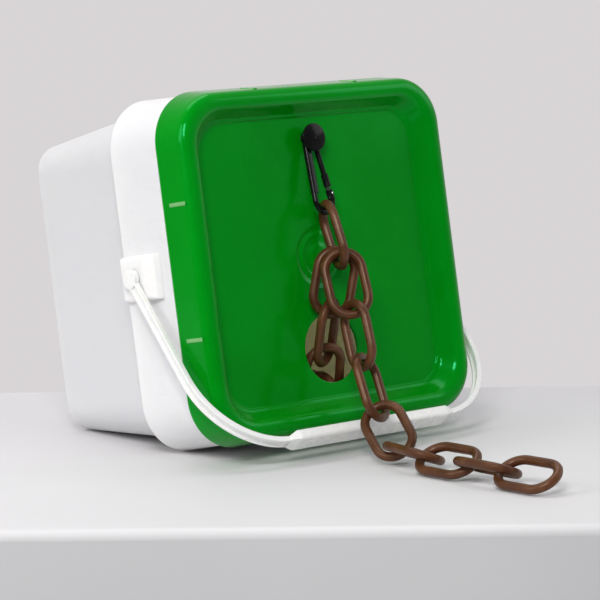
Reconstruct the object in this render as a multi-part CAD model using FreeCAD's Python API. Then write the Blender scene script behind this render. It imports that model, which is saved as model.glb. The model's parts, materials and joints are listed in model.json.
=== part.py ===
import FreeCAD, Part
import math
import os

# Square plastic chain pail lying on its side.  A snap-on lid carries a knob and a snap
# hook; a plastic chain hangs from the hook.  One run leads out over the bail handle to the
# floor, the other goes back through a hole in the lid to the chain stored in the pail.
# Units are millimetres.  Everything is drawn in the lid's own frame (x across the lid,
# y up the lid, z out of the lid, origin at the centre of the lid's front) and is then
# laid down so that the pail rests on its skirt edge and its base edge, +Z up.

V = FreeCAD.Vector

# ---------------------------------------------------------------- driving dimensions
WALL = 2.2                  # pail wall
BASE_HALF = 126.0           # half width of the pail at its base edge
BASE_EDGE_Z = -230.5        # where the base edge rounds off
BASE_Z = -234.6             # underside of the base
SKIRT_HALF = 150.0          # half width of the skirt at its lower edge
SKIRT_Z = -94.4             # lower edge of the skirt
SKIRT_TOP_Z = -35.5
SKIRT_TOP_HALF = 147.0
BODY_HALF = 140.5           # half width of the pail wall behind the skirt
RIM_HALF = 141.0
RIM_Z = -3.4                # top of the pail rim, inside the lid channel
BODY_CORNER = 38.0          # corner radius at BODY_HALF
LID_FRONT_HALF = 145.0
LID_REAR_HALF = 150.0
LID_DEPTH = 33.0
LID_CORNER = 45.0
LID_SHEET = 2.0
PANEL_Z = -16.0             # front face of the recessed panel
PANEL_HALF = 120.0
RIM_INNER_HALF = 131.0
HOLE_RADIUS = 29.4
HOLE_Y = -79.0
BOSS_RADIUS = 27.0
BOSS_DEPTH = 1.1              # depth of the ripple round the lid's middle
KNOB_Y = 101.0
KNOB_HEAD_RADIUS = 12.0
KNOB_NECK_RADIUS = 2.2
KNOB_HEAD_Z = -6.2          # underside of the knob's head
KNOB_TOP_Z = -2.6
SCREW_RADIUS = 1.45
BAIL_PIVOT_Z = -75.0
BAIL_HALF = 160.0           # centre of the strap, half the distance between the arms
BAIL_REACH = 177.0          # pivot to the centre of the grip
BAIL_BEND = 72.0            # radius of the two large bends
BAIL_DIP = 32.5             # degrees the bail leans out from the plane of the skirt
STRAP_WIDTH = 9.8
STRAP_THICK = 5.0
GRIP_HALF = 83.0
PIVOT_RADIUS = 4.0
RUN_CLEARANCE = 0.06
HOOK_LENGTH = 71.1          # snap hook, centre line of the wire
HOOK_WIRE = 2.4
HOOK_TOP_RADIUS = 5.6
HOOK_BOTTOM_RADIUS = 10.5
LINK_LENGTH = 63.0
LINK_WIDTH = 40.0
LINK_WIRE = 4.0
LINK_GAP = 0.35             # air left between two links that bear on each other

TILT = math.atan2(SKIRT_HALF - BASE_HALF, SKIRT_Z - BASE_EDGE_Z)
LID_HEIGHT = SKIRT_HALF * math.cos(TILT) - SKIRT_Z * math.sin(TILT)


# ---------------------------------------------------------------- small helpers
def frame_placement(origin, x_axis, y_axis):
    """Placement that carries the local x and y axes onto the two directions given."""
    z_axis = x_axis.cross(y_axis)
    matrix = FreeCAD.Matrix(
        x_axis.x, y_axis.x, z_axis.x, origin.x,
        x_axis.y, y_axis.y, z_axis.y, origin.y,
        x_axis.z, y_axis.z, z_axis.z, origin.z,
        0, 0, 0, 1)
    return FreeCAD.Placement(matrix)


def placed(shape, placement):
    moved = shape.copy()
    moved.Placement = placement.multiply(moved.Placement)
    return moved


def fused(shapes):
    whole = shapes[0]
    if len(shapes) > 1:
        whole = whole.multiFuse(shapes[1:])
    return whole.removeSplitter()


def box(x0, x1, y0, y1, z0, z1):
    return Part.makeBox(x1 - x0, y1 - y0, z1 - z0, V(x0, y0, z0))


def rounded_square(half, corner, z):
    """Closed wire: a square with rounded corners, in the plane at height z."""
    flat = half - corner
    diagonal = corner * math.sqrt(0.5)
    edges = []
    for turn in range(4):
        spin = FreeCAD.Rotation(V(0, 0, 1), 90 * turn)
        start = spin.multVec(V(half, -flat, 0))
        end = spin.multVec(V(half, flat, 0))
        middle = spin.multVec(V(flat + diagonal, flat + diagonal, 0))
        after = spin.multVec(V(flat, half, 0))
        lift = V(0, 0, z)
        edges.append(Part.LineSegment(start + lift, end + lift).toShape())
        edges.append(Part.Arc(end + lift, middle + lift, after + lift).toShape())
    return Part.Wire(edges)


def rounded_block(profile, corner_less):
    """Solid through rounded squares; profile is (half width, z), bottom to top."""
    wires = [rounded_square(half, half - corner_less, z) for half, z in profile]
    return Part.makeLoft(wires, True, True)


def around_four_sides(shape):
    turned = []
    for turn in range(4):
        copy = shape.copy()
        copy.rotate(V(0, 0, 0), V(0, 0, 1), 90 * turn)
        turned.append(copy)
    return turned


# ---------------------------------------------------------------- pail
def make_pail():
    body_core = BODY_HALF - BODY_CORNER
    outside = rounded_block([
        (BASE_HALF - 3.4, BASE_Z),
        (BASE_HALF - 1.1, BASE_Z + 1.2),
        (BASE_HALF, BASE_EDGE_Z),
        (BODY_HALF, SKIRT_Z),
        (RIM_HALF, -29.5),
        (RIM_HALF + 4.6, -28.0),
        (RIM_HALF + 4.6, -25.0),
        (RIM_HALF, -23.0),
        (RIM_HALF, RIM_Z - 0.8),
        (RIM_HALF - 0.8, RIM_Z)], body_core)
    inside = rounded_block([
        (BASE_HALF - 4.0 - WALL, BASE_Z + 3.0),
        (BASE_HALF - WALL, BASE_EDGE_Z + 4.0),
        (BODY_HALF - WALL, SKIRT_Z),
        (RIM_HALF - WALL, RIM_Z + 1.0)], body_core)
    tub = outside.cut(inside)
    foot = rounded_block([(BASE_HALF - 12.0, BASE_Z - 1.0), (BASE_HALF - 12.0, BASE_Z + 0.9)], body_core)
    tub = tub.cut(foot)

    skirt_core = SKIRT_HALF - LID_CORNER
    skirt_outside = rounded_block([
        (SKIRT_HALF, SKIRT_Z),
        (SKIRT_TOP_HALF, SKIRT_TOP_Z - 1.2),
        (SKIRT_TOP_HALF - 1.2, SKIRT_TOP_Z)], skirt_core)
    skirt_inside = rounded_block([
        (SKIRT_HALF - WALL, SKIRT_Z - 0.5),
        (SKIRT_TOP_HALF - WALL, SKIRT_TOP_Z - WALL)], skirt_core)
    body_space = rounded_block([
        (BODY_HALF - 1.0, SKIRT_Z - 1.0),
        (RIM_HALF - 1.0, SKIRT_TOP_Z + 1.0)], body_core)
    skirt = skirt_outside.cut(skirt_inside).cut(body_space)

    ribs = []
    for across in (-96.0, -64.0, 64.0, 96.0):
        rib = box(BODY_HALF - 1.0, SKIRT_TOP_HALF - 1.0, across - 1.0, across + 1.0, -84.0, SKIRT_TOP_Z - 1.0)
        ribs.extend(around_four_sides(rib))

    ears = []
    for side in (-1, 1):
        ears.append(make_ear(side))
    pail = fused([tub, skirt] + ribs + ears)
    for side in (-1, 1):
        pail = pail.cut(make_ear_pocket(side))
    return pail.removeSplitter()


EAR_FACE = 156.8            # outer face of the ear
EAR_LOW_Z = -92.5
EAR_HIGH_Z = -48.0
EAR_HALF = 19.0


def make_ear(side):
    """Raised hood on the skirt that the handle's pivot button snaps into."""
    profile = [
        V(SKIRT_TOP_HALF - 1.0, 0, EAR_LOW_Z),
        V(EAR_FACE - 1.2, 0, EAR_LOW_Z),
        V(EAR_FACE, 0, EAR_LOW_Z + 1.5),
        V(EAR_FACE, 0, EAR_HIGH_Z - 14.0),
        V(EAR_FACE - 1.4, 0, EAR_HIGH_Z - 8.0),
        V(EAR_FACE - 4.2, 0, EAR_HIGH_Z - 2.5),
        V(SKIRT_TOP_HALF - 1.0, 0, EAR_HIGH_Z + 1.0)]
    face = Part.Face(Part.makePolygon(profile + [profile[0]]))
    face.translate(V(0, -EAR_HALF, 0))
    ear = face.extrude(V(0, 2 * EAR_HALF, 0))
    upright = [edge for edge in ear.Edges
               if abs(abs(edge.CenterOfMass.y) - EAR_HALF) < 0.01 and edge.CenterOfMass.x > EAR_FACE - 2.0]
    ear = ear.makeFillet(3.5, upright)
    if side < 0:
        ear.rotate(V(0, 0, 0), V(0, 0, 1), 180)
    return ear


def make_ear_pocket(side):
    """Hollow behind the ear's face, open downwards, with the pivot bore."""
    hollow = box(SKIRT_HALF - 0.9, EAR_FACE - 2.6, -9.0, 9.0, EAR_LOW_Z - 3.0, BAIL_PIVOT_Z + 9.0)
    bore = Part.makeCylinder(PIVOT_RADIUS + RUN_CLEARANCE, 8.0, V(SKIRT_HALF, 0, BAIL_PIVOT_Z), V(1, 0, 0))
    pocket = hollow.fuse(bore)
    if side < 0:
        pocket.rotate(V(0, 0, 0), V(0, 0, 1), 180)
    return pocket


# ---------------------------------------------------------------- lid
def make_lid():
    core = LID_REAR_HALF - LID_CORNER
    slope = (LID_REAR_HALF - LID_FRONT_HALF) / LID_DEPTH
    outside = rounded_block([
        (LID_REAR_HALF, -LID_DEPTH),
        (LID_FRONT_HALF + slope * 5.5, -5.5),
        (LID_FRONT_HALF - 0.6, -2.6),
        (LID_FRONT_HALF - 2.6, -0.8),
        (LID_FRONT_HALF - 5.5, 0.0)], core)
    channel = rounded_block([
        (LID_REAR_HALF - 1.9, -LID_DEPTH - 0.5),
        (LID_REAR_HALF - 2.4, -25.0),
        (LID_FRONT_HALF + slope * 6.5 - LID_SHEET, -6.5),
        (LID_FRONT_HALF - 4.2, -LID_SHEET)], core)
    dish_back = rounded_block([
        (RIM_INNER_HALF - 7.5, PANEL_Z - LID_SHEET),
        (RIM_INNER_HALF - 6.2, PANEL_Z),
        (RIM_INNER_HALF + 2.0, -LID_SHEET),
        (RIM_INNER_HALF + 3.0, -0.6)], core)
    dish_front = rounded_block([
        (PANEL_HALF, PANEL_Z),
        (PANEL_HALF + 0.4, PANEL_Z + 1.6),
        (PANEL_HALF + 2.8, PANEL_Z + 2.0),
        (PANEL_HALF + 3.8, PANEL_Z + 3.0),
        (RIM_INNER_HALF - 0.6, -1.9),
        (RIM_INNER_HALF + 1.2, -0.3),
        (RIM_INNER_HALF + 3.0, 0.4)], core)
    lid = outside.cut(channel).fuse(dish_back).cut(dish_front)
    backing = Part.makeCylinder(BOSS_RADIUS + 1.5, 1.4, V(0, 0, PANEL_Z - LID_SHEET - BOSS_DEPTH))
    ripple = Part.makePolygon([
        V(BOSS_RADIUS * share, 0, PANEL_Z + height) for share, height in (
            (0.30, 1.0), (0.34, 0.02), (0.44, -BOSS_DEPTH), (0.62, -BOSS_DEPTH), (0.70, -0.4 * BOSS_DEPTH),
            (0.80, -BOSS_DEPTH), (0.86, -BOSS_DEPTH), (1.0, 0.02), (1.02, 1.0), (0.30, 1.0))])
    ripple = Part.Face(ripple).revolve(V(0, 0, 0), V(0, 0, 1), 360)
    hub = Part.makeCylinder(9.0, 1.4, V(0, KNOB_Y, PANEL_Z - LID_SHEET - 1.2))
    ribs = []
    for across in (-56.5, 56.5):
        rib = box(LID_FRONT_HALF - 1.0, LID_REAR_HALF + 2.0, across - 1.6, across + 1.6, -25.0, -5.5)
        shell = rounded_block([(LID_REAR_HALF + 1.3, -LID_DEPTH), (LID_FRONT_HALF + 1.3, 0.0)], core)
        ribs.extend(around_four_sides(rib.common(shell).cut(channel)))
    lid = fused([lid, backing, hub] + ribs).cut(ripple)
    hole = Part.makeCylinder(HOLE_RADIUS, 10.0, V(0, HOLE_Y, PANEL_Z - 5.0))
    screw_hole = Part.makeCylinder(SCREW_RADIUS + 0.3, 10.0, V(0, KNOB_Y, PANEL_Z - 5.0))
    lid = lid.cut(hole).cut(screw_hole)
    rim_edges = [edge for edge in lid.Edges
                 if abs(edge.Length - 2 * math.pi * HOLE_RADIUS) < 0.01]
    return lid.makeFillet(0.6, rim_edges)


# ---------------------------------------------------------------- knob and its fixings
def make_knob():
    """Mushroom knob: foot, neck and a domed head."""
    foot = Part.makeCone(5.6, KNOB_NECK_RADIUS + 0.8, 0.8, V(0, 0, PANEL_Z + 0.05))
    neck = Part.makeCylinder(KNOB_NECK_RADIUS, KNOB_HEAD_Z - PANEL_Z, V(0, 0, PANEL_Z + 0.3))
    head = Part.makeCylinder(KNOB_HEAD_RADIUS, KNOB_TOP_Z - KNOB_HEAD_Z, V(0, 0, KNOB_HEAD_Z))
    dome_radius = 62.0
    dome = Part.makeSphere(dome_radius, V(0, 0, KNOB_TOP_Z - dome_radius))
    chamfer = Part.makeCone(KNOB_HEAD_RADIUS - 0.8, KNOB_HEAD_RADIUS + 9.2, 10.0, V(0, 0, KNOB_HEAD_Z))
    head = head.common(dome).common(chamfer)
    bore = Part.makeCylinder(SCREW_RADIUS + 0.05, 9.6, V(0, 0, PANEL_Z - 0.5))
    knob = fused([foot, neck, head]).cut(bore)
    knob.translate(V(0, KNOB_Y, 0))
    return knob


def make_knob_screw():
    back = PANEL_Z - LID_SHEET - 1.2
    shank = Part.makeCylinder(SCREW_RADIUS, 11.8, V(0, KNOB_Y, back - 1.4))
    tip = Part.makeCone(SCREW_RADIUS, 0.6, 1.0, V(0, KNOB_Y, back + 10.4))
    head = Part.makeCylinder(4.2, 2.6, V(0, KNOB_Y, back - 4.0))
    top = [edge for edge in head.Edges if abs(edge.CenterOfMass.z - (back - 4.0)) < 0.01 and edge.Closed]
    head = head.makeFillet(1.2, top[:1])
    slot = fused([box(-2.6, 2.6, KNOB_Y - 0.5, KNOB_Y + 0.5, back - 4.5, back - 2.8),
                  box(-0.5, 0.5, KNOB_Y - 2.6, KNOB_Y + 2.6, back - 4.5, back - 2.8)])
    return fused([shank, tip, head]).cut(slot)


def make_knob_washer():
    back = PANEL_Z - LID_SHEET - 1.2
    ring = Part.makeCylinder(7.5, 1.2, V(0, KNOB_Y, back - 1.3))
    return ring.cut(Part.makeCylinder(SCREW_RADIUS + 0.25, 3.0, V(0, KNOB_Y, back - 2.0)))


# ---------------------------------------------------------------- bail handle
def strap_section(centre_x):
    """I-shaped cross section of the strap, in the x-z plane, z along its width."""
    half_w = STRAP_WIDTH / 2
    half_t = STRAP_THICK / 2
    web = half_t - 1.6
    flange = half_w - 2.6
    outline = [
        (half_t, -half_w + 0.5), (half_t, -flange - 0.4), (web, -flange), (web, flange),
        (half_t, flange + 0.4), (half_t, half_w - 0.5), (half_t - 0.5, half_w),
        (-half_t + 0.5, half_w), (-half_t, half_w - 0.5), (-half_t, flange + 0.4),
        (-web, flange), (-web, -flange), (-half_t, -flange - 0.4), (-half_t, -half_w + 0.5),
        (-half_t + 0.5, -half_w), (half_t - 0.5, -half_w)]
    points = [V(centre_x + x, 0, z) for x, z in outline]
    return Part.Face(Part.makePolygon(points + [points[0]]))


def make_bail():
    """Handle drawn flat: x across, y away from the pivots, z along the strap's width."""
    straight = BAIL_REACH - BAIL_BEND
    bend_x = BAIL_HALF - BAIL_BEND
    pieces = []
    for side in (-1, 1):
        section = strap_section(BAIL_HALF)
        arm = section.extrude(V(0, straight, 0))
        section.translate(V(0, straight, 0))
        bend = section.revolve(V(bend_x, straight, 0), V(0, 0, 1), 90)
        boss = Part.makeCylinder(8.2, STRAP_THICK, V(BAIL_HALF - STRAP_THICK / 2, 0, 0), V(1, 0, 0))
        inner = SKIRT_HALF + 0.0
        pin = Part.makeCylinder(PIVOT_RADIUS, BAIL_HALF - inner - 1.5, V(inner, 0, 0), V(1, 0, 0))
        button = Part.makeCone(4.6, 6.2, 2.4, V(inner - 0.2, 0, 0), V(1, 0, 0))
        half_bail = fused([arm, bend, boss, pin, button])
        if side < 0:
            half_bail = half_bail.mirror(V(0, 0, 0), V(1, 0, 0))
        pieces.append(half_bail)
    pieces.append(make_grip(bend_x))
    return fused(pieces)


def make_grip(bend_x):
    """Thick hand grip with sloping ends and finger grooves across its outer face."""
    low = BAIL_REACH - 5.0
    high = BAIL_REACH + 4.6
    side = [
        V(-GRIP_HALF - 9.0, BAIL_REACH - 2.2, 0), V(-GRIP_HALF, low, 0), V(GRIP_HALF, low, 0),
        V(GRIP_HALF + 9.0, BAIL_REACH - 2.2, 0), V(GRIP_HALF + 9.0, BAIL_REACH + 2.2, 0),
        V(GRIP_HALF, high, 0), V(-GRIP_HALF, high, 0), V(-GRIP_HALF - 9.0, BAIL_REACH + 2.2, 0)]
    slab = Part.Face(Part.makePolygon(side + [side[0]]))
    slab.translate(V(0, 0, -9.5))
    grip = slab.extrude(V(0, 0, 19.0))
    plan = [
        V(-GRIP_HALF - 9.0, 0, -6.0), V(-GRIP_HALF, 0, -9.5), V(GRIP_HALF, 0, -9.5),
        V(GRIP_HALF + 9.0, 0, -6.0), V(GRIP_HALF + 9.0, 0, 6.0), V(GRIP_HALF, 0, 9.5),
        V(-GRIP_HALF, 0, 9.5), V(-GRIP_HALF - 9.0, 0, 6.0)]
    outline = Part.Face(Part.makePolygon(plan + [plan[0]]))
    outline.translate(V(0, low - 5.0, 0))
    grip = grip.common(outline.extrude(V(0, 25.0, 0)))
    long_edges = [edge for edge in grip.Edges if abs(edge.Length - 2 * GRIP_HALF) < 0.01]
    grip = grip.makeFillet(2.4, long_edges)
    tunnel = box(-bend_x - 12.0, bend_x + 12.0, BAIL_REACH - 1.0, BAIL_REACH + 1.0, -3.0, 3.0)
    return grip.fuse(tunnel)


def bail_placement(dip):
    """Handle pose; dip is the angle its plane makes with the skirt, in degrees."""
    lean = math.radians(dip)
    reach = V(0, -math.cos(lean), math.sin(lean))
    return frame_placement(V(0, 0, BAIL_PIVOT_Z), V(-1, 0, 0), reach)


# ---------------------------------------------------------------- snap hook
HOOK_TOP = HOOK_LENGTH - HOOK_TOP_RADIUS - HOOK_BOTTOM_RADIUS   # between the two end arcs
HINGE_Y = 5.0               # gate hinge, measured from the centre of the bottom arc
NOSE_Y = HOOK_TOP - 9.0     # free end of the gate


def hook_side(side):
    """Straight side of the hook: tangent points on the bottom and the top arc."""
    lean = math.asin((HOOK_BOTTOM_RADIUS - HOOK_TOP_RADIUS) / HOOK_TOP)
    out = V(side * math.cos(lean), math.sin(lean), 0)
    low = out * HOOK_BOTTOM_RADIUS
    high = out * HOOK_TOP_RADIUS + V(0, HOOK_TOP, 0)
    return low, high


def rod(start, end, radius):
    return Part.makeCylinder(radius, (end - start).Length, start, end - start)


def arc_rod(centre, start, middle, end, radius):
    """Round bar along the arc through three points."""
    path = Part.Wire([Part.Arc(start, middle, end).toShape()])
    tangent = (start - centre).cross(V(0, 0, 1))
    ring = Part.Wire([Part.Circle(start, tangent, radius).toShape()])
    return path.makePipeShell([ring], True, False)


def hinge_point():
    low, high = hook_side(1)
    return low + (high - low).normalize() * HINGE_Y


def nose_point():
    low, high = hook_side(1)
    return low + (high - low).normalize() * NOSE_Y


def make_spine_rib(low, high):
    """Wide flat bar that stiffens the hook's closed side."""
    along = (high - low).normalize()
    inward = V(along.y, -along.x, 0)
    length = (high - low).Length - 12.0
    bar = Part.makeBox(7.0, length, 4.4, V(-HOOK_WIRE, 6.0, -2.2))
    bar = bar.makeFillet(1.5, [edge for edge in bar.Edges if edge.Length > 10.0])
    return placed(bar, frame_placement(low, inward, along))


def make_hook_frame():
    left_low, left_high = hook_side(-1)
    right_low, right_high = hook_side(1)
    up_right = (right_high - right_low).normalize()
    hinge = hinge_point()
    nose = nose_point()
    crown = V(0, HOOK_TOP, 0)
    bottom = arc_rod(V(0, 0, 0), left_low, V(0, -HOOK_BOTTOM_RADIUS, 0), right_low, HOOK_WIRE)
    top = arc_rod(crown, left_high, V(0, HOOK_TOP + HOOK_TOP_RADIUS, 0), right_high, HOOK_WIRE)
    spine = rod(left_low, left_high, HOOK_WIRE).fuse(make_spine_rib(left_low, left_high))
    stub = rod(right_low, hinge + up_right * 3.0, HOOK_WIRE + 0.7)
    knuckle = Part.makeSphere(HOOK_WIRE + 0.7, right_low)
    beak = rod(nose + up_right * 0.6, right_high, HOOK_WIRE)
    frame = fused([bottom, top, spine, stub, knuckle, beak])
    slot = Part.makeBox(12.0, 14.0, 2.9, V(-6.0, -4.2, -1.45))
    frame = frame.cut(placed(slot, frame_placement(hinge, V(up_right.y, -up_right.x, 0), up_right)))
    pin_bore = Part.makeCylinder(0.85, 10.0, hinge - V(0, 0, 5.0))
    return frame.cut(pin_bore)


def make_hook_gate():
    """Spring gate: a flat tongue in the frame's fork, then a round bar up to the nose."""
    right_low, right_high = hook_side(1)
    up_right = (right_high - right_low).normalize()
    hinge = hinge_point()
    nose = nose_point()
    side = V(up_right.y, -up_right.x, 0)
    bar = rod(hinge + up_right * 6.2, nose, HOOK_WIRE - 0.1)
    collar = rod(hinge + up_right * 6.2, hinge + up_right * 17.0, HOOK_WIRE + 0.7)
    tongue = Part.makeBox(3.6, 8.2, 1.1, V(-1.8, -1.2, -1.15))
    tongue = placed(tongue, frame_placement(hinge, side, up_right))
    gate = fused([bar, collar, tongue])
    return gate.cut(Part.makeCylinder(0.9, 10.0, hinge - V(0, 0, 5.0)))


def make_gate_pin():
    hinge = hinge_point()
    return Part.makeCylinder(0.82, 6.0, hinge - V(0, 0, 3.0))


def make_gate_spring():
    """Torsion spring round the hinge pin, beside the gate's tongue."""
    coil_radius = 1.25
    wire = 0.16
    turns = 2
    pitch = 0.36
    helix = Part.makeHelix(pitch, pitch * turns, coil_radius)
    along = V(0, 2 * math.pi * coil_radius, pitch).normalize()
    start = V(coil_radius, 0, 0)
    end = V(coil_radius, 0, pitch * turns)
    lower = Part.makeLine(start - along * 2.0, start)
    upper = Part.makeLine(end, end + along * 3.0)
    ring = Part.Wire([Part.Circle(start - along * 2.0, along, wire).toShape()])
    spring = Part.Wire([lower] + helix.Edges + [upper]).makePipeShell([ring], True, True)
    right_low, right_high = hook_side(1)
    up_right = (right_high - right_low).normalize()
    side = V(up_right.y, -up_right.x, 0)
    return placed(spring, frame_placement(hinge_point() + V(0, 0, 0.24), side, up_right))


HOOK_DIP = 11.0             # degrees the hook stands off the lid
HOOK_ROLL = -8.0


def hook_placement():
    down, across = run_axes(HOOK_DIP, -1.0, HOOK_ROLL)
    crown = V(0, KNOB_Y - 0.55, -11.6)
    origin = crown + down * HOOK_TOP
    return frame_placement(origin, across, down.negative())


# ---------------------------------------------------------------- chain
BEND_RADIUS = (LINK_WIDTH - 2 * LINK_WIRE) / 2
BAR_REACH = LINK_LENGTH / 2 - LINK_WIRE     # link centre to the centre of its end bar


def run_axes(dip, swing, roll):
    """Direction a piece hangs in, and the direction of its width.

    dip is the angle out from straight down the lid, swing the angle towards +x and roll
    the turn about the hanging direction, all in degrees.
    """
    d, s, r = (math.radians(angle) for angle in (dip, swing, roll))
    outward = V(0, -math.cos(d), math.sin(d))
    across = V(1, 0, 0)
    run = outward * math.cos(s) + across * math.sin(s)
    flat = across * math.cos(s) - outward * math.sin(s)
    normal = run.cross(flat)
    width = flat * math.cos(r) + normal * math.sin(r)
    return run, width


def make_link():
    """One closed link in the x-y plane, long axis along y."""
    straight = LINK_LENGTH / 2 - LINK_WIDTH / 2
    pieces = []
    for side in (-1, 1):
        leg = Part.makeCylinder(LINK_WIRE, 2 * straight, V(side * BEND_RADIUS, -straight, 0), V(0, 1, 0))
        pieces.append(leg)
        ring = Part.Face(Part.Wire(Part.Circle(V(BEND_RADIUS, side * straight, 0), V(0, 1, 0), LINK_WIRE).toShape()))
        pieces.append(ring.revolve(V(0, side * straight, 0), V(0, 0, side), 180))
    return fused(pieces)


def hang_links(first_bar, first_run, run_list):
    """Thread links one after another.

    run_list holds (dip, swing, roll, slack) per link; slack is play left beside LINK_GAP.
    Returns (centre, run, width) for each link.
    """
    links = []
    bar = first_bar
    previous = first_run
    for dip, swing, roll, slack in run_list:
        run, width = run_axes(dip, swing, roll)
        pull = (previous + run).normalize()
        own_bar = bar - pull * (2 * LINK_WIRE + LINK_GAP + slack)
        centre = own_bar + run * BAR_REACH
        links.append((centre, run, width))
        bar = centre + run * BAR_REACH
        previous = run
    return links


# Outside run: (dip, swing, roll, slack) from the hook to the free end on the floor.
OUTER_RUN = [
    (17, -2, -66, 0.0),
    (12, -3, 33, 3.2),
    (13, -5, -84, 0.5),
    (19, -5, -22, 0.5),
    (43, -12, 44, 2.0),
    (80, -8, -20, 2.5),
    (80, 3, 30, 3.5),
    (80, 3, -20, 3.5),
    (80, 4, 31, 3.5)]
# Inside run: from the first link back through the lid's hole.
INNER_RUN = [
    (-8, -15, 29, 7.2),
    (-24, 3, -27, 2.0),
    (-30, 12, 13, 5.5)]
INNER_SIDE = 9.0            # how far the inside run sits from the middle of the first link


# Chain stored in the pail: a loose serpentine on the wall that lies undermost.
STORED_RUN = [
    (-93, 25, 26, 1.5),
    (-96, 75, -54, 2.5),
    (-96, 25, 42, 1.5),
    (-96, -30, -48, 1.5),
    (-96, -85, 42, 1.5),
    (-96, -95, -42, 0.5),
    (-96, -120, 48, 0.5),
    (-96, -168, -42, 1.5),
    (-96, -212, 42, 1.5)]


def outer_links():
    hook = hook_placement()
    low = hook.multVec(V(0, -HOOK_BOTTOM_RADIUS, 0))
    run, width = run_axes(*OUTER_RUN[0][:3])
    own_bar = low - run * (HOOK_WIRE + LINK_WIRE + LINK_GAP)
    first = (own_bar + run * BAR_REACH, run, width)
    rest = hang_links(first[0] + run * BAR_REACH, run, OUTER_RUN[1:])
    return [first] + rest


def inner_links():
    centre, run, width = outer_links()[0]
    return hang_links(centre + run * BAR_REACH + width * INNER_SIDE, run, INNER_RUN)


def link_placement(link):
    centre, run, width = link
    return frame_placement(centre, width, run)


# ---------------------------------------------------------------- assembly
def lay_down(forward):
    """Lid frame to the row frame."""
    across = V(1, 0, 0)
    up_the_lid = V(0, math.sin(TILT), math.cos(TILT))
    return frame_placement(V(0, forward, LID_HEIGHT), across, up_the_lid)


def stored_links():
    """Chain lying in the pail, starting with the link the inside run drops into."""
    centre, run, width = inner_links()[-1]
    bar = centre + run * BAR_REACH
    floor = -(BODY_HALF - WALL)
    run, width = run_axes(-90, 0, 90)
    entry = (V(bar.x, floor + LINK_WIDTH / 2 + 0.5, bar.z - 9.0), run, width)
    tail = entry[0] + run * BAR_REACH
    return [entry] + hang_links(tail, run, STORED_RUN)


def make_nodes():
    """Every node of the part in the lid frame."""
    nodes = {
        "pail_body": make_pail(),
        "lid": make_lid(),
        "hanger_knob": make_knob(),
        "knob_screw": make_knob_screw(),
        "knob_washer": make_knob_washer(),
        "bail_handle": placed(make_bail(), bail_placement(BAIL_DIP))}
    hook = hook_placement()
    nodes["snap_hook_frame"] = placed(make_hook_frame(), hook)
    nodes["snap_hook_gate"] = placed(make_hook_gate(), hook)
    nodes["gate_pin"] = placed(make_gate_pin(), hook)
    nodes["gate_spring"] = placed(make_gate_spring(), hook)
    link = make_link()
    for number, pose in enumerate(outer_links(), 1):
        nodes["outer_link_%d" % number] = placed(link, link_placement(pose))
    for number, pose in enumerate(inner_links(), 1):
        nodes["inner_link_%d" % number] = placed(link, link_placement(pose))
    stored = [placed(link, link_placement(pose)) for pose in stored_links()]
    nodes["stored_chain"] = Part.makeCompound(stored)
    return nodes


def middle_of(nodes):
    """Half way along y between the frontmost and the rearmost point."""
    laid = lay_down(0.0)
    low = []
    high = []
    for shape in nodes.values():
        bounds = placed(shape, laid).optimalBoundingBox(False)
        low.append(bounds.YMin)
        high.append(bounds.YMax)
    return (min(low) + max(high)) / 2


def main():
    os.makedirs("parts", exist_ok=True)
    nodes = make_nodes()
    pose = lay_down(-middle_of(nodes))
    for name, shape in nodes.items():
        placed(shape, pose).exportStep("parts/%s.step" % name)


if __name__ == "__main__":
    main()
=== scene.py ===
"""Square pail with a chain that runs out through its lid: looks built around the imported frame."""
import json
import math

import bmesh
import bpy
import numpy as np
from mathutils import Matrix, Vector


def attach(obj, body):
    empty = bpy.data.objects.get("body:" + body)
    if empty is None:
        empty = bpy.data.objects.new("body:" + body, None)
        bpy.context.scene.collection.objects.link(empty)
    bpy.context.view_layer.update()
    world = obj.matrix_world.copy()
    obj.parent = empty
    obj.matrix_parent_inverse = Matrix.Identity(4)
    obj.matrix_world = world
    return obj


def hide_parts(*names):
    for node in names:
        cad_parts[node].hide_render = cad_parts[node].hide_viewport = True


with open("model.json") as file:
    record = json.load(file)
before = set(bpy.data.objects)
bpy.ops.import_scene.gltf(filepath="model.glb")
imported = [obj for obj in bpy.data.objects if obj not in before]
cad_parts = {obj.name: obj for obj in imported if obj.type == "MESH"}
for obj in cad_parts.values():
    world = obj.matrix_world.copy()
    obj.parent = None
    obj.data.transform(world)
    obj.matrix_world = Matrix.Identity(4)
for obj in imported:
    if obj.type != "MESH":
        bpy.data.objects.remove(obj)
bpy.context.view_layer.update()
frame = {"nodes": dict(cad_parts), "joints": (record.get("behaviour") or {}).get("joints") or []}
NODES = frame["nodes"]
JOINTS = {joint["name"]: joint for joint in frame["joints"]}
MM = 0.001

# The lid's own axes: x across, y up the lid, z out of it (LID_OUT).
PIVOT = Vector(JOINTS["bail_swing"]["pos_m"])
LID_OUT = Vector(JOINTS["lid_unsnap"]["axis"])
LID_CREST = PIVOT + LID_OUT * 0.075     # height 0 of the lid, at the crest of its rim
LID_MIDDLE = PIVOT + LID_OUT * 0.059    # on the front of its panel
REAR_EDGE = max(-(v.co - LID_MIDDLE).dot(LID_OUT) for v in NODES["lid"].data.vertices)
SKIRT_BACK = -0.0784                    # the skirt's rear edge, along LID_OUT from LID_MIDDLE

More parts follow.
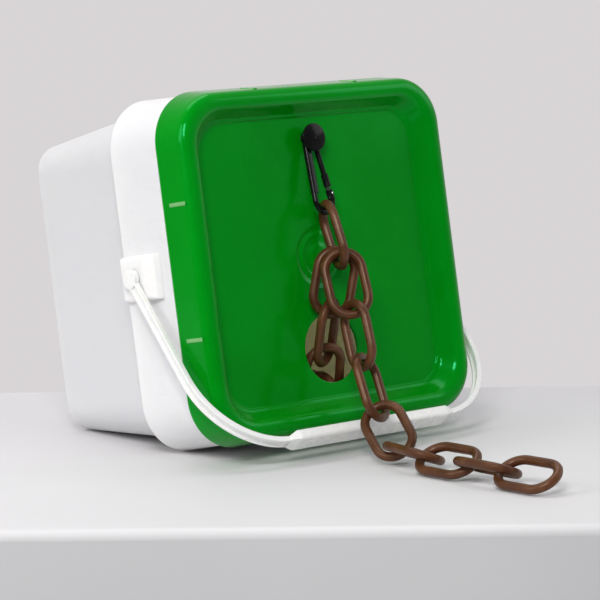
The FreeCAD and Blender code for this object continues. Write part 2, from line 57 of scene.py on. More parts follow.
# Millimetres, in the lid's own axes.
LID_CORE = 105.0            # the outer corners turn about points this far from the middle
LID_PANEL = -16.0           # front of the panel
LID_SHEET = 2.0
PANEL_HALF = 120.0
RIM_HALF = 131.0            # inner edge of the rim
LID_HALF = 150.0            # widest, at the rear edge
LID_BACK = -33.0
BAND_SLOPE = 4.0 / 26.1     # the side bands widen this much for each mm towards the back
HOLE_UP, HOLE_RADIUS = -79.0, 29.4
KNOB_UP, SCREW_RADIUS = 101.0, 1.75
BOSS_RADIUS = 27.0          # the ripple round the middle
DASH_ALONG = 56.5           # the rib dashes, each way from the middle of a side band
DASH_HEIGHTS = (-24.8, -5.9)
DASH_WIDTH = 3.1
DASH_PROUD, DASH_SUNK = 0.75, 0.5       # off the band's face, and into it
RIPPLE = 1.1                # depth of the ripple, and of the backing behind it
SEAT_RADIUS, SEAT_DEPTH = 9.0, 1.2      # the pad behind the knob's screw


# ---------------------------------------------------------------- material building blocks
class Shader:
    """A Principled material and short ways to add nodes to it."""

    def __init__(self, name, **settings):
        self.material = bpy.data.materials.new(name)
        self.material.use_nodes = True
        self.tree = self.material.node_tree
        self.bsdf = self.tree.nodes["Principled BSDF"]
        for socket, value in settings.items():
            self.bsdf.inputs[socket.replace("_", " ")].default_value = value
        self.coords = self.node("ShaderNodeTexCoord").outputs["Object"]

    def node(self, kind, **settings):
        made = self.tree.nodes.new(kind)
        for key, value in settings.items():
            setattr(made, key, value)
        return made

    def link(self, source, target):
        self.tree.links.new(source, target)

    def mapped(self, scale=(1, 1, 1), location=(0, 0, 0), rotation=(0, 0, 0)):
        mapping = self.node("ShaderNodeMapping")
        mapping.inputs["Scale"].default_value = scale
        mapping.inputs["Location"].default_value = location
        mapping.inputs["Rotation"].default_value = rotation
        self.link(self.coords, mapping.inputs["Vector"])
        return mapping.outputs["Vector"]

    def noise(self, scale, detail=3.0, rough=0.5, vector=None, distortion=0.0):
        noise = self.node("ShaderNodeTexNoise")
        noise.inputs["Scale"].default_value = scale
        noise.inputs["Detail"].default_value = detail
        noise.inputs["Roughness"].default_value = rough
        noise.inputs["Distortion"].default_value = distortion
        self.link(vector or self.coords, noise.inputs["Vector"])
        return noise.outputs["Fac"]

    def ramp(self, value, stops):
        """Colour ramp through (position, colour) stops."""
        ramp = self.node("ShaderNodeValToRGB")
        elements = ramp.color_ramp.elements
        while len(elements) < len(stops):
            elements.new(0.5)
        for element, (position, shade) in zip(elements, stops):
            element.position = position
            element.color = (*shade, 1.0)
        self.link(value, ramp.inputs["Fac"])
        return ramp.outputs["Color"]

    def spread(self, value, low, high, start=0.0, end=1.0):
        """value from start..end onto low..high, clamped."""
        mapped = self.node("ShaderNodeMapRange")
        mapped.inputs["From Min"].default_value = start
        mapped.inputs["From Max"].default_value = end
        mapped.inputs["To Min"].default_value = low
        mapped.inputs["To Max"].default_value = high
        self.link(value, mapped.inputs["Value"])
        return mapped.outputs["Result"]

    def calc(self, first, second, operation="ADD"):
        added = self.node("ShaderNodeMath", operation=operation)
        for value, socket in ((first, added.inputs[0]), (second, added.inputs[1])):
            if isinstance(value, (int, float)):
                socket.default_value = value
            else:
                self.link(value, socket)
        return added.outputs[0]

    def absolute(self, value):
        size = self.node("ShaderNodeMath", operation="ABSOLUTE")
        self.link(value, size.inputs[0])
        return size.outputs[0]

    def minus(self, vector, fixed):
        offset = self.node("ShaderNodeVectorMath", operation="SUBTRACT")
        self.link(vector, offset.inputs[0])
        offset.inputs[1].default_value = fixed
        return offset.outputs[0]

    def mix(self, amount, first, second):
        """first where amount is 0, second where it is 1."""
        mixed = self.node("ShaderNodeMix", data_type="RGBA")
        for value, socket in ((amount, mixed.inputs[0]), (first, mixed.inputs[6]), (second, mixed.inputs[7])):
            if isinstance(value, tuple):
                socket.default_value = (*value, 1.0)
            elif isinstance(value, (int, float)):
                socket.default_value = value
            else:
                self.link(value, socket)
        return mixed.outputs[2]

    def bumps(self, *layers, soften=0.0):
        """Layers of (height, metres, strength), the coarsest first; soften is the radius that edges get."""
        normal = None
        if soften:
            rounded = self.node("ShaderNodeBevel", samples=6)
            rounded.inputs["Radius"].default_value = soften
            normal = rounded.outputs["Normal"]
        for height, distance, strength in layers:
            bump = self.node("ShaderNodeBump")
            bump.inputs["Strength"].default_value = strength
            bump.inputs["Distance"].default_value = distance
            self.link(height, bump.inputs["Height"])
            if normal is not None:
                self.link(normal, bump.inputs["Normal"])
            normal = bump.outputs["Normal"]
        self.link(normal, self.bsdf.inputs["Normal"])

    def scratches(self, angle, scale, width, location):
        """Thin broken lines, 1 on a line and 0 elsewhere."""
        turned = self.mapped(scale=(scale, scale * 0.03, scale * 0.4), rotation=angle, location=location)
        lines = self.noise(1.0, detail=2.0, vector=turned)
        near = self.absolute(self.calc(lines, 0.5, "SUBTRACT"))
        thin = self.spread(near, 1.0, 0.0, 0.0, width)
        patches = self.noise(9.0, detail=2.0, vector=self.mapped(location=location))
        patches = self.spread(patches, 0, 1, 0.52, 0.62)
        return self.calc(thin, patches, "MULTIPLY")

    def edges(self, low, high):
        """From 0 at low pointiness to 1 at high: outward edges above 0.5, inner corners below it."""
        return self.spread(self.node("ShaderNodeNewGeometry").outputs["Pointiness"], 0.0, 1.0, low, high)


def paint(material, *names):
    for name in names:
        for slot in NODES[name].material_slots:
            slot.material = material


# ---------------------------------------------------------------- materials
def green_lid_plastic():
    """Injection moulded lid: flow marks round the middle, rib dashes with a painted highlight, fine
    scratches.
    """
    s = Shader("lid_green_plastic", IOR=1.48, Specular_IOR_Level=0.42, Specular_Tint=(0.09, 1.0, 0.46, 1.0),
               Subsurface_Weight=0.04, Subsurface_Scale=0.003)
    # turned upright and measured from the middle of the panel: across, depth behind it and up the lid
    lean = math.atan2(LID_OUT.z, -LID_OUT.y)
    flat = s.node("ShaderNodeVectorRotate", rotation_type="AXIS_ANGLE")
    flat.inputs["Center"].default_value = LID_MIDDLE
    flat.inputs["Axis"].default_value = (1, 0, 0)
    flat.inputs["Angle"].default_value = lean
    s.link(s.coords, flat.inputs["Vector"])
    parts = s.node("ShaderNodeSeparateXYZ")
    s.link(s.minus(flat.outputs[0], LID_MIDDLE), parts.inputs[0])
    across, depth, up = parts.outputs["X"], parts.outputs["Y"], parts.outputs["Z"]
    radius = s.node("ShaderNodeMath", operation="SQRT")
    s.link(s.calc(s.calc(across, across, "MULTIPLY"), s.calc(up, up, "MULTIPLY")), radius.inputs[0])
    rings = s.node("ShaderNodeMath", operation="SINE")
    wobble = s.calc(s.noise(9.0, detail=2.0), 0.05, "MULTIPLY")
    s.link(s.calc(s.calc(radius.outputs[0], wobble), 260.0, "MULTIPLY"), rings.inputs[0])
    ring_fade = s.spread(radius.outputs[0], 1.0, 0.0, 0.03, 0.12)
    flow = s.calc(rings.outputs[0], ring_fade, "MULTIPLY")

    cloud = s.noise(7.0, detail=4.0, distortion=0.6)
    base = s.ramp(cloud, [(0.3, (0.0002, 0.225, 0.0030)), (0.72, (0.0003, 0.290, 0.0075))])
    speckle = s.spread(s.noise(160.0, detail=4.0), 0.0, 0.10, 0.5, 0.8)
    base = s.mix(speckle, base, (0.001, 0.33, 0.02))
    rubs = s.calc(s.scratches((0, 0.3, 0.5), 340.0, 0.008, (0.3, 0.1, 0.7)),
                  s.scratches((0.4, 1.1, 0.2), 420.0, 0.007, (0.9, 0.4, 0.2)), "MAXIMUM")
    base = s.mix(s.calc(rubs, 0.05, "MULTIPLY"), base, (0.02, 0.38, 0.06))
    # painted highlight: the dashes on the four side bands are painted pale, as where their tops catch the
    # light
    dash_highlight = s.calc(dash_highlight_mask(s, up, across, depth), dash_highlight_mask(s, across, up, depth), "MAXIMUM")
    base = s.mix(s.calc(dash_highlight, 0.75, "MULTIPLY"), base, (0.26, 0.52, 0.22))
    # the trimmed rear edge catches the light as a thin pale line
    edge = s.calc(s.spread(depth, 0.0, 1.0, REAR_EDGE - 0.0011, REAR_EDGE - 0.0005),
                  s.spread(s.noise(40.0, detail=2.0), 0.35, 0.8, 0.35, 0.6), "MULTIPLY")
    base = s.mix(edge, base, (0.20, 0.55, 0.25))
    s.link(base, s.bsdf.inputs["Base Color"])
    gloss = s.calc(s.spread(s.noise(22.0, detail=5.0, rough=0.6), 0.11, 0.20, 0.3, 0.7),
                   s.calc(rubs, 0.20, "MULTIPLY"))
    s.link(gloss, s.bsdf.inputs["Roughness"])
    s.bumps((flow, 0.0005, 0.12), (s.noise(38.0, detail=1.0), 0.0006, 0.10),
            (s.noise(420.0, detail=2.0), 0.0001, 0.12), (rubs, 0.0001, -0.15), soften=0.0009)
    return s.material


def dash_highlight_mask(s, along_band, from_middle, depth):
    """1 on the middle of the two dashes of each band on one pair of sides, where their painted highlight
    goes.
    """
    near = s.absolute(s.calc(s.absolute(along_band), DASH_ALONG * MM, "SUBTRACT"))
    on_band = s.calc(s.spread(near, 1.0, 0.0, 0.0015, 0.0019),
                     s.spread(s.absolute(from_middle), 0.0, 1.0, 0.1455, 0.1462), "MULTIPLY")
    return s.calc(on_band, s.spread(s.absolute(depth), 1.0, 0.0, 0.0085, 0.0092), "MULTIPLY")


def white_pail_plastic():
    """Translucent moulded white: faint clouds and grime, scratches, painted shade on the single-skin wall,
    and a warmer inside painted as light that comes in through the green lid.
    """
    s = Shader("pail_white_plastic", IOR=1.5, Specular_IOR_Level=0.4, Subsurface_Weight=0.6,
               Subsurface_Scale=0.009, Subsurface_Radius=(1.0, 0.96, 0.75))
    cloud = s.noise(5.0, detail=4.0, distortion=0.4)
    base = s.ramp(cloud, [(0.3, (0.885, 0.88, 0.865)), (0.7, (0.925, 0.92, 0.905))])
    grime = s.spread(s.noise(34.0, detail=6.0, rough=0.65), 0.0, 0.10, 0.55, 0.75)
    base = s.mix(grime, base, (0.62, 0.60, 0.54))
    rubs = s.calc(s.scratches((0.2, 0.9, 0.1), 300.0, 0.008, (0.2, 0.6, 0.1)),
                  s.scratches((1.2, 0.2, 0.8), 380.0, 0.008, (0.7, 0.3, 0.5)), "MAXIMUM")
    base = s.mix(s.calc(rubs, 0.16, "MULTIPLY"), base, (0.55, 0.54, 0.50))
    # the inside gets painted light: faces that look towards the middle of the mouth are tinted yellow-green,
    # as by light that comes in through the green lid
    from_mouth = s.minus(s.coords, LID_MIDDLE)
    outward = s.node("ShaderNodeVectorMath", operation="DOT_PRODUCT")
    s.link(from_mouth, outward.inputs[0])
    s.link(s.node("ShaderNodeNewGeometry").outputs["Normal"], outward.inputs[1])
    inside = s.spread(outward.outputs["Value"], 1.0, 0.0, -0.004, 0.0)
    # painted shade: the wall behind the skirt, a single skin, is painted darker than the doubled rim
    behind = s.node("ShaderNodeVectorMath", operation="DOT_PRODUCT")
    s.link(from_mouth, behind.inputs[0])
    behind.inputs[1].default_value = LID_OUT
    wall = s.spread(behind.outputs["Value"], 0.5, 0.0, SKIRT_BACK - 0.003, SKIRT_BACK + 0.001)
    # painted shade on the single-skin wall behind the skirt
    base = s.mix(wall, base, (0.58, 0.585, 0.60))
    # painted light on the inside, tinted as if through the green lid
    base = s.mix(inside, base, (0.88, 0.89, 0.60))
    s.link(base, s.bsdf.inputs["Base Color"])
    gloss = s.calc(s.spread(s.noise(18.0, detail=5.0), 0.36, 0.50, 0.3, 0.7),
                   s.calc(rubs, 0.15, "MULTIPLY"))
    s.link(gloss, s.bsdf.inputs["Roughness"])
    s.bumps((s.noise(16.0, detail=2.0), 0.0012, 0.12), (s.noise(520.0, detail=3.0), 0.00012, 0.25),
            (rubs, 0.0001, -0.2), soften=0.0022)
    return s.material


def white_bail_plastic():
    """Glossier white, darker in patches in the inner corners."""
    s = Shader("bail_white_plastic", IOR=1.5, Subsurface_Weight=0.25, Subsurface_Scale=0.006,
               Subsurface_Radius=(1.0, 0.9, 0.7))
    cloud = s.noise(20.0, detail=4.0)
    base = s.ramp(cloud, [(0.3, (0.84, 0.845, 0.84)), (0.7, (0.90, 0.90, 0.885))])
    # darker in patches where the pointiness is low, in the inner corners
    grime = s.calc(s.edges(0.50, 0.46), s.spread(s.noise(80.0, detail=4.0), 0.0, 0.3, 0.5, 0.7),
                   "MULTIPLY")
    base = s.mix(grime, base, (0.62, 0.60, 0.55))
    s.link(base, s.bsdf.inputs["Base Color"])
    s.link(s.spread(s.noise(60.0, detail=5.0), 0.20, 0.34, 0.3, 0.7), s.bsdf.inputs["Roughness"])
    s.bumps((s.noise(70.0, detail=2.0), 0.0003, 0.14), (s.noise(650.0, detail=2.0), 0.00008, 0.2),
            soften=0.0008)
    return s.material


def brown_chain_plastic(offset):
    """Satin brown with dust and rubs; the offset moves the pattern, so that neighbouring links differ."""
    s = Shader("chain_brown_plastic_%d" % offset, IOR=1.5, Specular_IOR_Level=0.5,
               Specular_Tint=(1.0, 0.74, 0.58, 1.0))
    shift = (offset * 0.37, offset * 0.71, offset * 0.13)
    place = s.mapped(location=shift)
    cloud = s.noise(45.0, detail=5.0, vector=place, distortion=0.8)
    base = s.ramp(cloud, [(0.28, (0.050, 0.0155, 0.0055)), (0.55, (0.084, 0.028, 0.0100)),
                          (0.8, (0.118, 0.043, 0.0160))])
    dust = s.spread(s.noise(170.0, detail=6.0, rough=0.7, vector=place), 0.0, 0.10, 0.5, 0.75)
    base = s.mix(dust, base, (0.19, 0.095, 0.055))
    rubs = s.scratches((0.5, 0.8, 0.3), 520.0, 0.012, shift)
    base = s.mix(s.calc(rubs, 0.35, "MULTIPLY"), base, (0.34, 0.22, 0.17))
    s.link(base, s.bsdf.inputs["Base Color"])
    gloss = s.calc(s.spread(s.noise(75.0, detail=5.0, vector=place), 0.30, 0.44, 0.3, 0.7),
                   s.calc(rubs, 0.15, "MULTIPLY"))
    s.link(gloss, s.bsdf.inputs["Roughness"])
    s.bumps((s.noise(90.0, detail=2.0, vector=place), 0.0004, 0.22),
            (s.noise(700.0, detail=3.0, vector=place), 0.00010, 0.22), (rubs, 0.0001, -0.3))
    return s.material


def black_moulded_plastic(name, low, high):
    """Black with worn edges; low and high are the roughness."""
    s = Shader(name, IOR=1.4, Specular_IOR_Level=0.22)
    cloud = s.noise(90.0, detail=4.0)
    base = s.ramp(cloud, [(0.3, (0.003, 0.003, 0.0035)), (0.7, (0.007, 0.007, 0.0075))])
    worn = s.calc(s.edges(0.53, 0.62), s.spread(s.noise(220.0, detail=3.0), 0.0, 0.5, 0.45, 0.7),
                  "MULTIPLY")
    base = s.mix(worn, base, (0.035, 0.035, 0.035))
    s.link(base, s.bsdf.inputs["Base Color"])
    s.link(s.spread(s.noise(140.0, detail=5.0), low, high, 0.3, 0.7), s.bsdf.inputs["Roughness"])
    s.bumps((s.noise(160.0, detail=2.0), 0.0002, 0.15), (s.noise(1100.0, detail=2.0), 0.00005, 0.12),
            soften=0.0004)
    return s.material


def bright_steel(name, low, high):
    """Steel with a drawn grain; low and high are the roughness."""
    s = Shader(name, Metallic=1.0)
    drawn = s.mapped(scale=(1, 1, 14))
    grain = s.noise(420.0, detail=4.0, vector=drawn)
    base = s.ramp(grain, [(0.3, (0.48, 0.48, 0.49)), (0.7, (0.66, 0.66, 0.67))])
    s.link(base, s.bsdf.inputs["Base Color"])
    s.link(s.spread(grain, low, high, 0.3, 0.7), s.bsdf.inputs["Roughness"])
    s.bumps((grain, 0.00005, 0.4))
    return s.material


# ---------------------------------------------------------------- chain links
TURN_STEPS = 20             # sections round each end of a link
LEG_STEPS = 9               # points along each leg, ends included
PARTING_LINE = 0.00011      # the mould's line stands this far off the rod
PARTING_INSET = 0.0001      # the rod is this much thinner than the CAD's, to leave room for the line
PARTING_ANGLES = (-4.0, -1.8, 1.8, 4.0, 176.0, 178.2, 181.8, 184.0)     # its edges, round the rod
PARTING_HALF = 2.5          # degrees
ROD_SIDES = 24


def link_frames(node):
    """Centre, width axis, run axis and (length, breadth, thickness) of each link in a CAD node."""
    mesh = bmesh.new()
    mesh.from_mesh(NODES[node].data)
    bmesh.ops.remove_doubles(mesh, verts=mesh.verts, dist=1e-6)
    mesh.verts.ensure_lookup_table()
    seen = set()
    found = []
    for start in mesh.verts:
        if start in seen:
            continue
        seen.add(start)
        island = [start]
        for vert in island:
            for edge in vert.link_edges:
                other = edge.other_vert(vert)
                if other not in seen:
                    seen.add(other)
                    island.append(other)
        points = np.array([v.co[:] for v in island])
        # the box of the principal axes, so that uneven vertex spacing doesn't matter
        axes = np.linalg.svd(points - points.mean(0), full_matrices=False)[2]
        along = points @ axes.T
        middle = (along.max(0) + along.min(0)) / 2
        size = along.max(0) - along.min(0)
        order = np.argsort(-size)
        run, width = Vector(axes[order[0]]), Vector(axes[order[1]])
        found.append((Vector(middle @ axes), width, run, size[order]))
    mesh.free()
    return found


def link_mesh(name, length, breadth, wire):
    """A rod of radius wire round an oval, with the mould's parting line along its inside and outside."""
    bend = breadth / 2 - wire
    straight = (length - 2 * wire - 2 * bend) / 2
    stations = []
    for side in (1, -1):
        for k in range(TURN_STEPS + 1):
            angle = math.pi * k / TURN_STEPS + (0 if side > 0 else math.pi)
            out = Vector((math.cos(angle), math.sin(angle), 0))
            stations.append((Vector((0, side * straight, 0)) + out * bend, out))
        out = Vector((-side, 0, 0))
        for y in np.linspace(side * straight, -side * straight, LEG_STEPS)[1:-1]:
            stations.append((Vector((-side * bend, y, 0)), out))
    sides = [k * 360.0 / ROD_SIDES for k in range(ROD_SIDES)]
    around = sorted({degrees % 360.0 for degrees in (*sides, *PARTING_ANGLES)})
    mesh = bmesh.new()
    rings = []
    for centre, out in stations:
        ring = []
        for degrees in around:
            angle = math.radians(degrees)
            off_line = abs((degrees + 90.0) % 180.0 - 90.0)
            reach = wire - PARTING_INSET + (PARTING_LINE if off_line < PARTING_HALF else 0.0)
            ring.append(mesh.verts.new(centre + out * math.cos(angle) * reach
                                       + Vector((0, 0, math.sin(angle) * reach))))
        rings.append(ring)
    for first, second in zip(rings, rings[1:] + rings[:1]):
        for k in range(len(around)):
            after = (k + 1) % len(around)
            mesh.faces.new((first[k], first[after], second[after], second[k]))
    bmesh.ops.recalc_face_normals(mesh, faces=mesh.faces)
    made = bpy.data.meshes.new(name)
    mesh.to_mesh(made)
    mesh.free()
    for face in made.polygons:
        face.use_smooth = True
    return made


def chain_piece(node, body, material):
    """One object of moulded links in place of a CAD node."""
    name = "moulded_" + node
    whole = bmesh.new()
    for centre, width, run, size in link_frames(node):
        part = link_mesh("link", size[0], size[1], size[2] / 2)
        facing = width.cross(run).normalized()
        part.transform(Matrix.Translation(centre) @ Matrix((width, run, facing)).transposed().to_4x4())
        whole.from_mesh(part)
        bpy.data.meshes.remove(part)
    mesh = bpy.data.meshes.new(name)
    whole.to_mesh(mesh)
    whole.free()
    mesh.materials.append(material)
    piece = bpy.data.objects.new(name, mesh)
    bpy.context.scene.collection.objects.link(piece)
    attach(piece, body)
    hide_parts(node)


# ---------------------------------------------------------------- the moulded lid
def eased(points, radius, steps=4):
    """The polyline with every corner rounded."""
    path = [points[0]]
    for before, corner, after in zip(points, points[1:], points[2:]):
        before, corner, after = Vector(before), Vector(corner), Vector(after)
        reach_in = min(radius, 0.45 * (corner - before).length)
        reach_out = min(radius, 0.45 * (after - corner).length)
        start = corner + (before - corner).normalized() * reach_in
        end = corner + (after - corner).normalized() * reach_out
        for k in range(steps + 1):
            t = k / steps
            path.append(tuple(start * (1 - t) ** 2 + corner * 2 * t * (1 - t) + end * t * t))
    return path + [points[-1]]


def strip(mesh, first, second):
    """Faces between two closed loops of the same length."""
    count = len(first)
    for k in range(count):
        mesh.faces.new((first[k], first[(k + 1) % count], second[(k + 1) % count], second[k]))


def corner_radius(half):
    """Outside, the corners turn about one point; in the dish they are rounder than that."""
    return max(half - LID_CORE, 26.0 + 0.41 * (half - 118.0))


def square_rings(mesh, path, turn_steps=20):
    """Rounded square rings, one for each (half width, height) of the path, joined up."""
    rings = []
    for half, height in path:
        ring = []
        for quarter, signs in enumerate(((1, 1), (-1, 1), (-1, -1), (1, -1))):
            for k in range(turn_steps + 1):
                angle = math.pi / 2 * (quarter + k / turn_steps)
                reach = corner_radius(half)
                centre = half - reach
                ring.append(mesh.verts.new((signs[0] * centre + reach * math.cos(angle),
                                            signs[1] * centre + reach * math.sin(angle), height)))
        rings.append(ring)
    for first, second in zip(rings, rings[1:]):
        strip(mesh, first, second)
    return rings[0], rings[-1]


def round_rings(mesh, path, up, around=72, closed_end=False):
    """Circles about a point on the lid's middle line, one for each (radius, height) of the path."""
    rings = []
    for radius, height in path:
        rings.append([mesh.verts.new((radius * math.cos(2 * math.pi * k / around),
                                      up + radius * math.sin(2 * math.pi * k / around), height))
                      for k in range(around)])
    for first, second in zip(rings, rings[1:]):
        strip(mesh, first, second)
    if closed_end:
        last = rings[-1]
        middle = mesh.verts.new((0, up, path[-1][1]))
        for k in range(around):
            mesh.faces.new((last[k], last[(k + 1) % around], middle))
    return rings[0], rings[-1]


def fill_between(mesh, loops):
    """A flat face inside the first loop, with the other loops as holes in it."""
    edges = []
    for loop in loops:
        for k, vert in enumerate(loop):
            after = loop[(k + 1) % len(loop)]
            edges.append(mesh.edges.get((vert, after)) or mesh.edges.new((vert, after)))
    bmesh.ops.triangle_fill(mesh, edges=edges, use_beauty=True, use_dissolve=False)


def make_lid():
    """One closed moulding: soft rim, dished panel, ripple round the middle, chain hole and knob seat."""
    mesh = bmesh.new()
    front, back = LID_PANEL, LID_PANEL - LID_SHEET
    # from the panel's front, up and over the rim, down the side band, and back up the inside
    wall = [(PANEL_HALF - 2.0, front), (PANEL_HALF, front), (PANEL_HALF + 0.4, front + 1.6),
            (PANEL_HALF + 2.8, front + 2.0), (PANEL_HALF + 3.8, front + 3.0), (RIM_HALF - 0.6, -1.9),
            (RIM_HALF + 3.0, 0.0), (139.5, 0.0), (144.4, -2.6), (146.0, -6.5), (LID_HALF, LID_BACK + 0.4),
            (LID_HALF - 0.4, LID_BACK), (148.1, LID_BACK), (147.6, -25.0), (144.2, -6.5), (140.8, -2.0),
            (RIM_HALF + 2.0, -2.0), (RIM_HALF - 6.9, back), (RIM_HALF - 10.0, back)]
    front_edge, back_edge = square_rings(mesh, eased(wall, 3.2))
    hole = [(HOLE_RADIUS + 1.4, front), (HOLE_RADIUS, front), (HOLE_RADIUS, back), (HOLE_RADIUS + 1.4, back)]
    hole_front, hole_back = round_rings(mesh, eased(hole, 0.6), HOLE_UP)
    seat = [(SCREW_RADIUS + 1.2, front), (SCREW_RADIUS, front), (SCREW_RADIUS, back - SEAT_DEPTH),
            (SEAT_RADIUS, back - SEAT_DEPTH), (SEAT_RADIUS, back), (SEAT_RADIUS + 1.4, back)]
    seat_front, seat_back = round_rings(mesh, eased(seat, 0.3), KNOB_UP, around=36)
    ripple = [(BOSS_RADIUS * share, front + height) for share, height in (
        (1.05, 0.0), (1.0, 0.0), (0.86, -RIPPLE), (0.80, -RIPPLE), (0.70, -0.4 * RIPPLE), (0.62, -RIPPLE),
        (0.44, -RIPPLE), (0.34, 0.0), (0.2, 0.0))]
    boss_front, _ = round_rings(mesh, eased(ripple, 1.6), 0.0, closed_end=True)
    backing = [(BOSS_RADIUS + 3.0, back), (BOSS_RADIUS + 1.5, back), (BOSS_RADIUS + 1.5, back - RIPPLE),
               (BOSS_RADIUS - 1.0, back - RIPPLE), (4.0, back - RIPPLE)]
    boss_back, _ = round_rings(mesh, eased(backing, 0.4), 0.0, closed_end=True)
    fill_between(mesh, [front_edge, hole_front, seat_front, boss_front])
    fill_between(mesh, [back_edge, hole_back, seat_back, boss_back])
    bmesh.ops.recalc_face_normals(mesh, faces=mesh.faces)
    return finish_moulding("moulded_lid", mesh, "lid", 28.0)


def lid_matrix():
    """From millimetres in the lid's own axes to the row frame."""
    across = Vector((1, 0, 0))
    up = LID_OUT.cross(across)
    turn = Matrix((across, up, LID_OUT)).transposed().to_4x4()
    return Matrix.Translation(LID_CREST) @ turn @ Matrix.Scale(MM, 4)


def finish_moulding(name, mesh, body, crease):
    """The mesh as an object on its body, smooth up to the crease angle."""
    mesh.transform(lid_matrix())
    data = bpy.data.meshes.new(name)
    mesh.to_mesh(data)
    mesh.free()
    for face in data.polygons:
        face.use_smooth = True
    data.set_sharp_from_angle(angle=math.radians(crease))
    piece = bpy.data.objects.new(name, data)
    bpy.context.scene.collection.objects.link(piece)
    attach(piece, body)
    return piece


def make_dashes():
    """Eight short moulded dashes, two on each side band, with rounded ends and top."""
    mesh = bmesh.new()
    for quarter in range(4):
        for along in (-DASH_ALONG, DASH_ALONG):
            made = bmesh.ops.create_cube(mesh, size=1.0)["verts"]
            for vert in made:
                height = DASH_HEIGHTS[vert.co.z > 0]
                surface = LID_HALF - (height - LID_BACK) * BAND_SLOPE
                reach = surface + (DASH_PROUD if vert.co.x > 0 else -DASH_SUNK)
                vert.co = Vector((reach, along + vert.co.y * DASH_WIDTH, height))
            edges = dict.fromkeys(edge for vert in made for edge in vert.link_edges)
            rounded = bmesh.ops.bevel(mesh, geom=list(edges), offset=0.5, segments=3, profile=0.5,
                                      affect="EDGES")
            verts = dict.fromkeys(vert for face in rounded["faces"] for vert in face.verts)
            verts.update(dict.fromkeys(vert for vert in made if vert.is_valid))
            bmesh.ops.rotate(mesh, verts=list(verts), cent=(0, 0, 0),
                             matrix=Matrix.Rotation(math.pi / 2 * quarter, 3, "Z"))
    bmesh.ops.recalc_face_normals(mesh, faces=mesh.faces)
    return finish_moulding("lid_dashes", mesh, "lid", 40.0)


# ---------------------------------------------------------------- the object's finishes
lid_finish = green_lid_plastic()
moulded_lid = make_lid()
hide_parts("lid")
for lid_piece in (moulded_lid, make_dashes()):
    lid_piece.data.materials.append(lid_finish)
paint(white_pail_plastic(), "pail_body")
paint(white_bail_plastic(), "bail_handle")
paint(black_moulded_plastic("knob_black_plastic", 0.10, 0.18), "hanger_knob")
paint(black_moulded_plastic("hook_black_plastic", 0.12, 0.20), "snap_hook_frame", "snap_hook_gate")
paint(bright_steel("zinc_plated_steel", 0.26, 0.42), "knob_screw", "knob_washer")
paint(bright_steel("drawn_spring_steel", 0.18, 0.30), "gate_pin", "gate_spring")

chain_finishes = [brown_chain_plastic(k) for k in range(4)]
for run, links, shift in (("outer", 9, 0), ("inner", 3, 1)):
    for count in range(1, links + 1):
        chain_piece("%s_link_%d" % (run, count), "%s_%d" % (run, count), chain_finishes[(count + shift) % 4])
chain_piece("stored_chain", "pail", chain_finishes[3])


# ---------------------------------------------------------------- table, light and camera
VIEW_YAW = 0.718            # radians to the right of straight at the lid
VIEW_PITCH = 0.141
VIEW_ROLL = -0.011
EYE = PIVOT + Vector((-1.79658, -2.08812, 0.35736))
LENS = 192.0
TABLE_DEPTHS = (2.36, 2.99)     # near and far edge, metres into the picture from the eye
TABLE_WIDTH = 2.6
TABLE_TOP, TABLE_BOTTOM = -0.0002, -0.45
BACKDROP = (0.69, 0.665, 0.672, 1.0)
FRONT_SKY = (0.20, 0.205, 0.215, 1.0)
LIGHTS = (
    # name, place, aim, size, power, tint
    ("key", (-1.5, -1.3, 1.5), (0, 0.05, 0.12), (0.8, 0.8), 34.0, (1.0, 0.985, 0.965)),
    ("fill", (1.8, -1.2, 1.2), (0, 0.05, 0.12), (1.0, 1.0), 5.0, (0.96, 0.98, 1.0)),
    ("top", (0.1, 0.5, 2.1), (0, 0.1, 0.1), (1.6, 1.2), 13.0, (1, 1, 1)),
    ("left", (-2.0, 0.3, 1.0), (0, 0.15, 0.12), (1.0, 1.2), 16.0, (1.0, 0.99, 0.975)),
)


def view_axes():
    """Right, up and forward of the camera."""
    forward = Vector((math.sin(VIEW_YAW) * math.cos(VIEW_PITCH), math.cos(VIEW_YAW) * math.cos(VIEW_PITCH),
                      -math.sin(VIEW_PITCH)))
    right = forward.cross(Vector((0, 0, 1))).normalized()
    up = right.cross(forward)
    rolled_right = right * math.cos(VIEW_ROLL) + up * math.sin(VIEW_ROLL)
    rolled_up = up * math.cos(VIEW_ROLL) - right * math.sin(VIEW_ROLL)
    return rolled_right, rolled_up, forward


def add_camera():
    data = bpy.data.cameras.new("camera")
    data.lens = LENS
    data.sensor_width = 36.0
    data.clip_end = 50.0
    camera = bpy.data.objects.new("camera", data)
    right, up, forward = view_axes()
    turn = Matrix((right, up, -forward)).transposed().to_4x4()
    camera.matrix_world = Matrix.Translation(EYE) @ turn
    bpy.context.scene.collection.objects.link(camera)
    bpy.context.scene.camera = camera


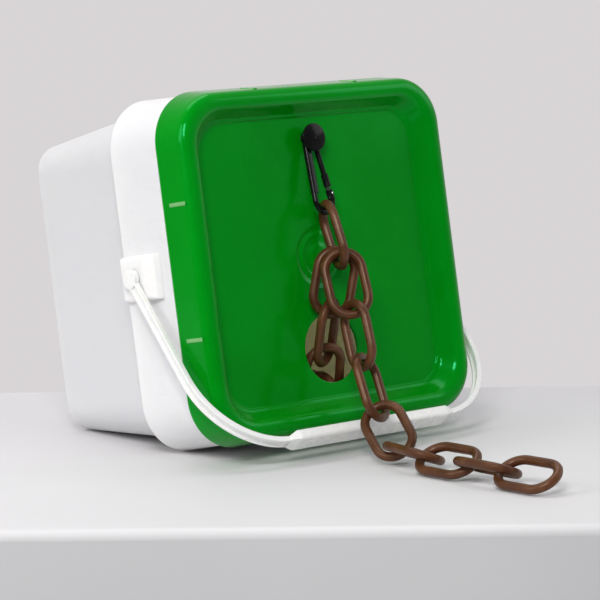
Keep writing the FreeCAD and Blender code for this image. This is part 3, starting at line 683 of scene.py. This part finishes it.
def add_table():
    """A pale table that lies square to the camera, its near edge in view and its far edge behind the pail."""
    into = Vector((math.sin(VIEW_YAW), math.cos(VIEW_YAW), 0))
    across = Vector((into.y, -into.x, 0))
    mesh = bmesh.new()
    bmesh.ops.create_cube(mesh, size=1.0)
    for vert in mesh.verts:
        depth = TABLE_DEPTHS[vert.co.y > 0]
        height = TABLE_TOP if vert.co.z > 0 else TABLE_BOTTOM
        place = EYE + into * depth + across * (vert.co.x * TABLE_WIDTH)
        vert.co = Vector((place.x, place.y, height))
    bmesh.ops.bevel(mesh, geom=list(mesh.edges), offset=0.008, segments=4, profile=0.5, affect="EDGES")
    bmesh.ops.recalc_face_normals(mesh, faces=mesh.faces)
    data = bpy.data.meshes.new("table")
    mesh.to_mesh(data)
    mesh.free()
    for face in data.polygons:
        face.use_smooth = face.area < 0.02
    s = Shader("table_cloth", IOR=1.45, Specular_IOR_Level=0.3)
    base = s.ramp(s.noise(2.2, detail=4.0), [(0.3, (0.655, 0.65, 0.665)), (0.7, (0.72, 0.715, 0.73))])
    s.link(base, s.bsdf.inputs["Base Color"])
    s.link(s.spread(s.noise(12.0), 0.50, 0.68), s.bsdf.inputs["Roughness"])
    s.bumps((s.noise(3.0, detail=2.0), 0.003, 0.1), (s.noise(900.0, detail=1.0), 0.0001, 0.3))
    data.materials.append(s.material)
    table = bpy.data.objects.new("table", data)
    bpy.context.scene.collection.objects.link(table)


def add_light(name, place, aim, size, power, tint):
    data = bpy.data.lights.new(name, "AREA")
    data.shape = "RECTANGLE"
    data.size, data.size_y = size
    data.energy = power
    data.color = tint
    light = bpy.data.objects.new(name, data)
    direction = Vector(aim) - Vector(place)
    turn = direction.to_track_quat("-Z", "Y").to_matrix().to_4x4()
    light.matrix_world = Matrix.Translation(Vector(place)) @ turn
    bpy.context.scene.collection.objects.link(light)


def add_world():
    """Bright behind the object as the photographer's backdrop, dimmer on the side that faces the lid."""
    world = bpy.data.worlds.new("studio")
    world.use_nodes = True
    tree = world.node_tree
    background = tree.nodes["Background"]
    coords = tree.nodes.new("ShaderNodeTexCoord")
    facing = tree.nodes.new("ShaderNodeVectorMath")
    facing.operation = "DOT_PRODUCT"
    facing.inputs[1].default_value = (math.sin(VIEW_YAW), math.cos(VIEW_YAW), 0.0)
    ramp = tree.nodes.new("ShaderNodeValToRGB")
    shift = tree.nodes.new("ShaderNodeMapRange")
    shift.inputs["From Min"].default_value = -1.0
    tree.links.new(coords.outputs["Generated"], facing.inputs[0])
    tree.links.new(facing.outputs["Value"], shift.inputs["Value"])
    tree.links.new(shift.outputs["Result"], ramp.inputs["Fac"])
    tree.links.new(ramp.outputs["Color"], background.inputs["Color"])
    ramp.color_ramp.elements[0].position = 0.30
    ramp.color_ramp.elements[0].color = FRONT_SKY
    ramp.color_ramp.elements[1].position = 0.85
    ramp.color_ramp.elements[1].color = BACKDROP
    background.inputs["Strength"].default_value = 1.0
    bpy.context.scene.world = world


add_camera()
add_table()
for light in LIGHTS:
    add_light(*light)
add_world()
bpy.context.scene.view_settings.view_transform = "Standard"
